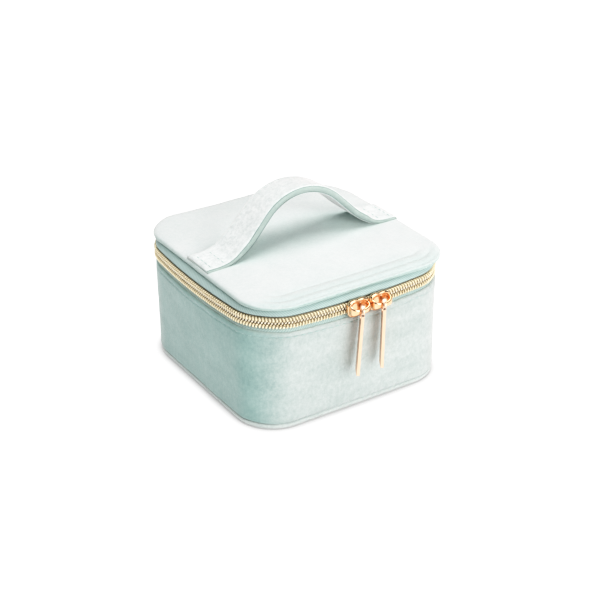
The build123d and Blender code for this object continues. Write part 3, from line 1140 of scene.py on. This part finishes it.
STRAP_REACH = 1.2 * MM
STRAP_X = (strap_lo.x + strap_hi.x + STRAP_REACH) / 2
STRAP_HALF = (strap_hi.x - strap_lo.x + STRAP_REACH) / 2
STRAP_SWAY = 2.0 * MM
STRAP_ROLL = math.radians(6.0)
STRAP_WIDTH = strap_hi.y - strap_lo.y
STRAP_RISE = core_hi.z - core_lo.z - (core_lo.z - LID_TOP) + 0.2 * MM
FOOT_RADIUS = 28 * MM
CROWN_RADIUS = 23.9 * MM
STRAP_BASE = (core_lo.z + LID_TOP) / 2 + 0.35 * MM


def strap_line(step=1.2 * MM):
    """Middle line of the strap, flat, foot arc, rise, crown and back down, with its angles.

    Each point has its distance from the nearer end, and the last value is the total length.
    """
    half = STRAP_RISE + (math.sqrt(2) - 1) * CROWN_RADIUS
    foot = FOOT_RADIUS * math.tan(math.pi / 8)
    slope = half * math.sqrt(2) - foot - CROWN_RADIUS
    flat = STRAP_HALF - half - foot
    runs = [
        (flat, 0.0), (FOOT_RADIUS * math.pi / 4, 1 / FOOT_RADIUS), (slope, 0.0),
        (CROWN_RADIUS * math.pi / 2, -1 / CROWN_RADIUS), (slope, 0.0),
        (FOOT_RADIUS * math.pi / 4, 1 / FOOT_RADIUS), (flat, 0.0),
    ]
    total = sum(length for length, _ in runs)
    count = int(total / step)
    fine = 20
    ds = total / (count * fine)
    x, z, angle = STRAP_X - STRAP_HALF, STRAP_BASE, 0.0
    points = [(x, z)]
    angles = [angle]
    ends = np.cumsum([length for length, _ in runs])
    travelled = 0.0
    for i in range(count * fine):
        run = min(int(np.searchsorted(ends, travelled + ds / 2)), len(runs) - 1)
        turn = runs[run][1] * ds
        x += math.cos(angle + turn / 2) * ds
        z += math.sin(angle + turn / 2) * ds
        angle += turn
        travelled += ds
        if (i + 1) % fine == 0:
            points.append((x, z))
            angles.append(angle)
    travelled = total * np.arange(len(points)) / (len(points) - 1)
    from_end = np.minimum(travelled, total - travelled)
    return np.array(points), np.array(angles), from_end, total


def strap_press(from_end):
    """How full the strap is, from its sewn-down ends to its middle."""
    return 0.62 + 0.38 * float(smooth((from_end - 11 * MM) / (10 * MM)))


def strap_sink(press):
    """How much lower the strap lies where it is pressed flat."""
    return 0.55 * MM * (1 - press) / 0.38


def strap_point(x, z, angle, across, lift):
    """Point of the strap, which leans back a little as it rises."""
    share = min(max((z - STRAP_BASE) / STRAP_RISE, 0.0), 1.0)
    roll = STRAP_ROLL * share**2
    sway = STRAP_SWAY * (1 - (1 - share) ** 2)
    right = float(smooth((x - STRAP_X) / (10 * MM)))
    push = 1.2 * MM * right * float(smooth(share / 0.15)) * (1 - share**2)
    out = lift * math.cos(roll) - across * math.sin(roll)
    y = across * math.cos(roll) + lift * math.sin(roll) + sway
    return (x + push - math.sin(angle) * out, y, z + math.cos(angle) * out)


def strap_ply(name, section, seed, amplitude):
    """Sweeps a closed section, as (across, height) pairs in millimetres, along the strap."""
    points, angles, from_ends, _ = strap_line()
    loops = []
    for (x, z), angle, from_end in zip(points, angles, from_ends):
        press = strap_press(from_end)
        tuck = 1 - 0.35 * float(smooth(1 - from_end / (1.6 * MM)))
        narrow = 1 - 0.02 * float(smooth(1 - from_end / (3 * MM)))
        loop = []
        for across, height in section:
            lift = height * MM * press * tuck - strap_sink(press)
            loop.append(strap_point(x, z, angle, across * MM * narrow, lift))
        loops.append(np.array(loop))
    ply = loft(name, loops, caps=(True, True))
    ruffle(ply, amplitude, 9 * MM, seed)
    return ply


def rounded_section(half_width, low, high, edge, crown=0.0):
    """Closed section of a flat band with rounded edges."""
    middle = (low + high) / 2
    half = (high - low) / 2
    flat = half_width - edge
    steps = 14
    section = []
    for side, level, bulge in ((1, high, crown), (-1, low, 0.0)):
        for i in range(steps + 1):
            across = side * (-flat + 2 * flat * i / steps)
            section.append((across, level + bulge * (1 - (across / half_width) ** 2)))
        for i in range(1, 6):
            angle = side * math.pi / 2 - math.pi * i / 6
            across = side * flat + edge * math.cos(angle)
            section.append((across, middle + half * math.sin(angle)))
    return section


def make_strap():
    """Strap of three plies with the stitching that holds its edges and ends."""
    half = STRAP_WIDTH / MM / 2
    top = rounded_section(half - 0.65, 0.9, 1.88, 0.35, 0.15)
    edge = rounded_section(half + 0.1, -1.05, 1.45, 1.15)
    under = rounded_section(half - 0.5, -1.4, -0.85, 0.3)
    for seed, (name, section, material, slot, node) in enumerate((
        ("strap_top_ply", top, STRAP_VELVET, "strap_velvet", "strap_velvet"),
        ("strap_edge_binding", edge, BINDING, "webbing", "strap_core"),
        ("strap_under_ply", under, STRAP_VELVET, "strap_velvet", "strap_lining"),
    )):
        ply = strap_ply(name, section, 60 + seed, 0.1 * MM)
        dress(ply, material, "lid", slot, node)
    cords = []
    for side in (-1, 1):
        for across, height in ((half - 0.62, 1.38), (half - 0.35, -0.95)):
            loop = [
                (side * across + 0.15 * math.cos(a), height + 0.15 * math.sin(a))
                for a in round_angles(8)
            ]
            cords.append(strap_ply(f"cord_{side}_{height}", loop, 66, 0.05 * MM))
    cord = join("strap_seam_cords", cords)
    dress(cord, SEAM_CORD, "lid", "strap_velvet")
    make_strap_stitches(half)


def make_strap_stitches(half):
    """Edge rows along the whole strap and two cross rows at each end."""
    points, angles, from_ends, total = strap_line()
    edges = []
    for side in (-1, 1):
        line = []
        normals = []
        for (x, z), angle, from_end in zip(points, angles, from_ends):
            if from_end >= 4.5 * MM:
                press = strap_press(from_end)
                lift = 1.93 * MM * press - strap_sink(press)
                line.append(strap_point(x, z, angle, side * (half - 2.4) * MM, lift))
                normals.append((-math.sin(angle), 0, math.cos(angle)))
        edges.append(stitches(f"edge_{side}", line, normals, 2.2 * MM, 0.9 * MM, 0.13 * MM))
    stations = np.linspace(0, total, len(points))
    reach = half - 1.8
    ends = []
    for end in (0, 1):
        for distance in (2.7, 9.1):
            at = distance * MM if end == 0 else total - distance * MM
            x, z, angle = (np.interp(at, stations, row) for row in (*points.T, angles))
            lift = 2.02 * MM * strap_press(distance * MM) - 0.55 * MM
            spots = np.linspace(-reach, reach, 12)
            line = [strap_point(x, z, angle, y * MM, lift) for y in spots]
            up = [(-math.sin(angle), 0, math.cos(angle))] * len(line)
            ends.append(stitches(f"end_{end}_{distance}", line, up, 2.4 * MM, 0.8 * MM, 0.2 * MM))
    dress(join("strap_end_stitches", ends), THREAD, "lid", "strap_velvet")
    dress(join("strap_edge_stitches", edges), PALE_THREAD, "lid", "strap_velvet")


# ---------------------------------------------------------------- sliders and pulls

ROD_IN = 0.65 * MM


def make_slider(side):
    """Polished slider: domed shield plate, wrapped flanges and a broad arched bridge."""
    lo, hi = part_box(f"slider_{side}")
    centre = (lo + hi) / 2
    rod_y = lo.y + ROD_IN
    plate_y = rod_y + 2.5 * MM
    x0, z0 = centre.x, centre.z - 0.45 * MM
    half_x = (hi.x - lo.x) / 2 + 0.25 * MM
    half_z = (hi.z - lo.z) / 2 + 0.3 * MM
    plate = domed_plate(f"plate_{side}", x0, z0, plate_y, half_x, half_z)
    bridge = arched_bridge(f"bridge_{side}", x0, z0, rod_y, plate_y)
    slider = join(f"slider_{side}_polished", [plate, bridge])
    dress(slider, GOLD, f"slider_{side}", "gold", f"slider_{side}")


def squircle(angle, power):
    """Point at an angle round a rounded square."""
    c, s = math.cos(angle), math.sin(angle)
    return math.copysign(abs(c) ** power, c), math.copysign(abs(s) ** power, s)


def domed_plate(name, x0, z0, y_front, half_x, half_z):
    """Waisted shield plate with a dished front, a raised rim and edges wrapped towards the zip."""
    levels = [
        (0.0, 0.55), (0.35, 0.6), (0.6, 0.5), (0.74, 0.2), (0.84, -0.02), (0.92, -0.05),
        (0.97, 0.12), (1.0, 0.5), (1.01, 1.1), (0.99, 1.7), (0.94, 2.1), (0.88, 2.2), (0.8, 1.9),
        (0.7, 1.6), (0.3, 1.55),
    ]
    rings = []
    for scale, depth in levels:
        reach = max(scale, 0.02)
        loop = []
        for angle in round_angles(72):
            across, up = squircle(angle, 2 / 3)
            x, z = across * half_x, up * half_z
            waist = 1 - 0.08 * math.exp(-((x / (0.4 * half_x)) ** 2))
            loop.append((x0 + x * reach, y_front + depth * MM, z0 + z * reach * waist))
        rings.append(np.array(loop))
    return closed_loft(name, rings)


def arched_bridge(name, x0, z0, rod_y, y_plate):
    """Broad arched band that the pull hangs on, narrow in the middle and wide at its feet."""
    loops = []
    half_span = 4.3 * MM
    reach = y_plate - rod_y + 1.1 * MM
    for share in np.linspace(-1, 1, 49):
        angle = share * math.pi / 2
        across = math.copysign(abs(math.sin(angle)) ** 1.1, angle)
        rise = max(0.0, math.cos(angle)) ** 0.5
        x = x0 + half_span * across
        y = y_plate + 0.5 * MM - reach * rise
        width = (0.98 + 1.3 * abs(share) ** 1.6) * MM
        z = z0 - 0.2 * MM * rise
        thick = (0.5 + 0.25 * abs(share)) * MM
        slope = np.array([max(math.cos(angle), 0.0) ** 0.6, math.sin(angle)])
        slope /= np.linalg.norm(slope)
        normal = np.array([slope[1], -slope[0]])
        loop = []
        for a in round_angles(18):
            up, out = squircle(a, 0.8)
            side = normal * out * thick
            loop.append((x + side[0], y + side[1], z + up * width))
        loops.append(np.array(loop))
    return closed_loft(name, loops)


PULL_LENGTH = (2.0 * MM, -29.55 * MM)
PULL_TWIST = math.radians(-30.0)
PULL_LEAN = {"left": math.radians(3.8), "right": math.radians(0.8)}


def round_end(half_width, middle, start, count):
    """Half circle of (across, up) pairs about a middle height, anticlockwise from that angle."""
    angles = np.linspace(start, start + math.pi, count)
    return [(half_width * math.cos(a), middle + half_width * math.sin(a)) for a in angles]


def pull_outline(half_width, top, bottom, corner):
    """Outline of a bar with a round top and small bottom corners, as (across, up) pairs."""
    outline = round_end(half_width, top - half_width, 0, 15)
    for side in (-1, 1):
        for angle in np.linspace(0, math.pi / 2, 4):
            turn = angle if side < 0 else math.pi / 2 - angle
            across = half_width - corner * (1 - math.cos(turn))
            outline.append((side * across, bottom + corner * (1 - math.sin(turn))))
    return outline


def eye_outline(half_width, top, bottom):
    """Outline of the long eye, as (across, up) pairs."""
    upper = round_end(half_width, top - half_width, 0, 9)
    return upper + round_end(half_width, bottom + half_width, math.pi, 9)


def pull_bar(name, half_thick):
    """Flat bar with a round top, a long eye and softened edges."""
    mesh = bmesh.new()
    edges = []
    for outline in (
        pull_outline(2.95 * MM, *PULL_LENGTH, 0.3 * MM),
        eye_outline(1.8 * MM, 1.47 * MM, -4.45 * MM),
    ):
        verts = [mesh.verts.new((-half_thick, across, up)) for across, up in outline]
        edges += [mesh.edges.new((verts[i - 1], verts[i])) for i in range(len(verts))]
    filled = bmesh.ops.triangle_fill(mesh, edges=edges, use_beauty=True)["geom"]
    faces = [f for f in filled if isinstance(f, bmesh.types.BMFace)]
    pushed = bmesh.ops.extrude_face_region(mesh, geom=faces)["geom"]
    verts = [v for v in pushed if isinstance(v, bmesh.types.BMVert)]
    bmesh.ops.translate(mesh, verts=verts, vec=(2 * half_thick, 0, 0))
    bmesh.ops.recalc_face_normals(mesh, faces=mesh.faces[:])
    bar = object_of(name, mesh)
    edge = bar.modifiers.new("soft_edges", "BEVEL")
    edge.width = 0.16 * MM
    edge.segments = 2
    edge.limit_method = "ANGLE"
    edge.angle_limit = math.radians(40)
    apply_modifiers(bar)
    return bar


def pull_eye_shade(name, radius, across, height):
    """Small dark round bead set into the edge of a pull, standing for the shade in its eye: painted
    shade.
    """
    angles = round_angles(14)
    loops = []
    for t in np.linspace(-1, 1, 9):
        r = radius * math.sqrt(max(1 - t * t, 0.02))
        level = np.full(len(angles), across + radius * t)
        loops.append(np.column_stack([r * np.cos(angles), level, height + r * np.sin(angles)]))
    return loft(name, loops, caps=(True, True))


def make_pull(side):
    """Pull bar with a small dark bead of painted shade at its eye, hung on the slider's rod."""
    lo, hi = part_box(f"slider_{side}")
    place = Matrix.Translation(((lo.x + hi.x) / 2, lo.y + ROD_IN, (lo.z + hi.z) / 2))
    turn = Matrix.Rotation(PULL_LEAN[side], 4, "Y") @ Matrix.Rotation(PULL_TWIST, 4, "Z")
    bar = pull_bar(f"pull_{side}_bar", 0.65 * MM)
    eye_shade = pull_eye_shade(f"pull_{side}_pin", 0.6 * MM, -2.75 * MM, -1.5 * MM)
    for piece in (bar, eye_shade):
        piece.data.transform(place @ turn)
    dress(bar, PULL_GOLD, f"pull_{side}", "gold", f"pull_{side}")
    dress(eye_shade, PIN_SHADE, f"pull_{side}", "gold")


# ---------------------------------------------------------------- mirror


def dress_mirror():
    """Material of the mirror, whose CAD shape is already right."""
    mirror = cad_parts["mirror"]
    mirror.data.materials.clear()
    mirror.data.materials.append(MIRROR)


# ---------------------------------------------------------------- stage, light and camera

# Name, azimuth, elevation, distance, size and power of each square lamp.
LAMPS = (
    ("overhead", 100, 74, 1.2, 0.8, 14.5),
    ("overhead_left", -80, 74, 1.2, 0.7, 9.5),
    ("softbox_front", 9, 20, 0.62, 0.38, 3.95),
)


def make_floor():
    """Glowing pale floor with a painted contact shadow: its glow dims only where the case touches
    it.
    """
    bpy.ops.mesh.primitive_plane_add(size=8.0, location=(0, 0, -0.2 * MM))
    floor = bpy.context.object
    floor.name = "floor"
    paint = Paint("pale_floor")
    # Painted contact shadow: the glow dims where the case is close by.
    glow = paint.spread(paint.openness(5 * MM, 24), 0.45, 0.93, 0.3, 1.4)
    material = paint.finish(
        (0.4, 0.4, 0.4), 0.9, Specular_IOR_Level=0.0, Emission_Color=(1, 1, 1),
        Emission_Strength=glow,
    )
    floor.data.materials.append(material)


def make_light():
    """Soft overhead light, a softbox in front and an even pale surround."""
    world = bpy.data.worlds.new("studio")
    bpy.context.scene.world = world
    world.use_nodes = True
    surround = world.node_tree.nodes["Background"]
    surround.inputs["Color"].default_value = (1, 1, 1, 1)
    surround.inputs["Strength"].default_value = 0.12
    for name, azimuth, elevation, distance, size, power in LAMPS:
        lamp = bpy.data.lights.new(name, "AREA")
        lamp.shape = "SQUARE"
        lamp.size = size
        lamp.energy = power
        lamp.color = (1.0, 0.97, 0.95)
        place_at(new_object(name, lamp), azimuth, elevation, distance, Vector((0, 0, 30 * MM)))


def place_at(thing, azimuth, elevation, distance, target):
    """Places a lamp or camera round a target and aims it, azimuth 0 in front, 90 at the right."""
    a = math.radians(azimuth)
    e = math.radians(elevation)
    back = Vector((math.sin(a) * math.cos(e), -math.cos(a) * math.cos(e), math.sin(e)))
    thing.location = target + back * distance
    thing.rotation_mode = "QUATERNION"
    thing.rotation_quaternion = (-back).to_track_quat("-Z", "Y")


def make_camera():
    """Camera from the front left, above the case."""
    data = bpy.data.cameras.new("camera")
    data.sensor_width = 36.0
    data.lens = 83.3
    data.clip_start = 0.01
    data.clip_end = 50.0
    camera = new_object("camera", data)
    place_at(camera, -33.13, 28.43, 0.6147, Vector((0, -6.42 * MM, 30.33 * MM)))
    bpy.context.scene.camera = camera


def set_tone():
    """Standard colours with a soft shoulder, so that pale velvet keeps its detail below white."""
    view = bpy.context.scene.view_settings
    view.view_transform = "Standard"
    view.use_curve_mapping = True
    white = 1.6
    shoulder = 1.76
    curves = view.curve_mapping
    curves.white_level = (white, white, white)
    for share in (0.1, 0.2, 0.3, 0.45, 0.6, 0.75, 0.9):
        curves.curves[3].points.new(share, 1 - (1 - share) ** shoulder)
    curves.update()


make_base_wall()
make_base_stitches()
make_bottom_panel()
make_wall_board()
make_inside_lining()
make_floor_pad()
make_ring_rolls()
make_dividers()
make_tapes()
make_coils()
make_hinge()
make_lid_cover()
make_flat_stiffeners()
make_lid_lining()
make_strap()
for slider_side in ("left", "right"):
    make_slider(slider_side)
    make_pull(slider_side)
dress_mirror()
make_floor()
make_light()
make_camera()
set_tone()
